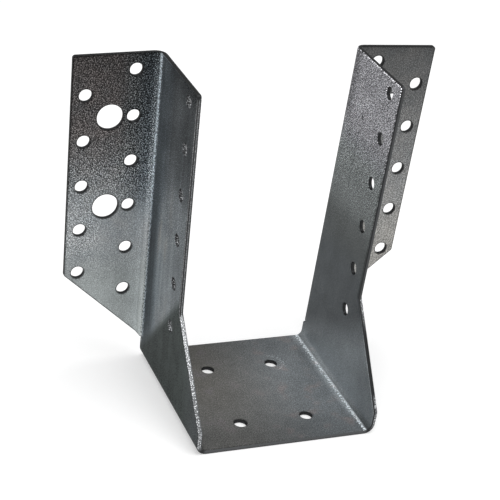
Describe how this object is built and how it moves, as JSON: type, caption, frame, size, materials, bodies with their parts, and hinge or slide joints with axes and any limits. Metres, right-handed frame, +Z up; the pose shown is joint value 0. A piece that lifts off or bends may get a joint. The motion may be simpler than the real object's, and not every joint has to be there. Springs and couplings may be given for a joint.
{
  "type": "joist hanger",
  "caption": "Face-fixed joist hanger folded from steel sheet: a seat between tapering side plates, with perforated flanges turned outwards to fasten to the header.",
  "frame": {"origin": "centre of the seat's upper face, where the joist bears", "axes": "+X to the right when looking along the joist at the header, +Y into the header, +Z up"},
  "size_m": [0.158, 0.077, 0.1419],
  "materials": {
    "zinc_steel": "dark weathered zinc on mill sheet, satin"
  },
  "bodies": {
    "root": {"hanger": "zinc_steel"}
  },
  "joints": []
}
